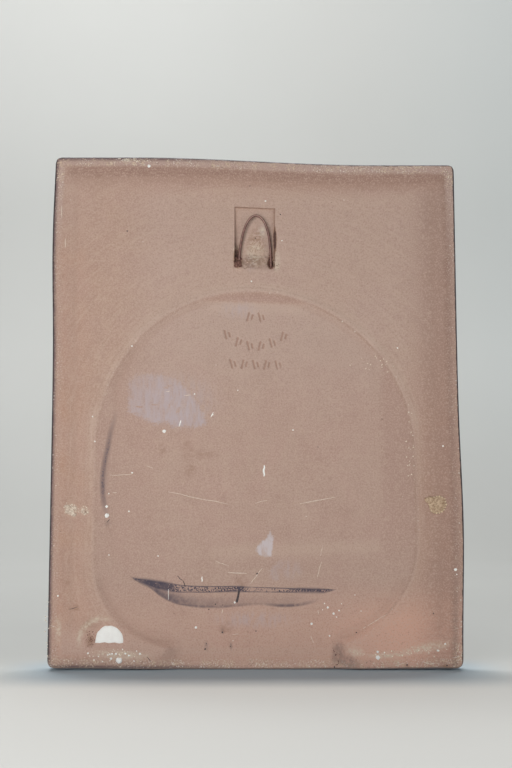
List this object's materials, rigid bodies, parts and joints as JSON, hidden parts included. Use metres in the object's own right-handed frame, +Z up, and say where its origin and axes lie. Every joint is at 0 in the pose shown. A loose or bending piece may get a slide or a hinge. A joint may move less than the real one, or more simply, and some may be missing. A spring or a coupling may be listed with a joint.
{
  "type": "decorative wall plaque",
  "caption": "Pressed stoneware wall plaque with a round leafy relief, a hollow rimmed back and a wire hanging loop in a pocket.",
  "frame": {"origin": "underside of the wire loop's crown, where the nail or hook bears", "axes": "+Z up, +Y to the wall (plain clay back), -Y into the room (relief); seen from behind +X is on the left"},
  "size_m": [0.2339, 0.023, 0.292],
  "materials": {
    "stoneware": "bare red-brown stoneware behind, dark blue satin glaze on the front and edges",
    "wire": "brown oxidised wire"
  },
  "bodies": {
    "root": {"plaque_body": "stoneware", "hanging_loop": "wire"}
  },
  "joints": []
}
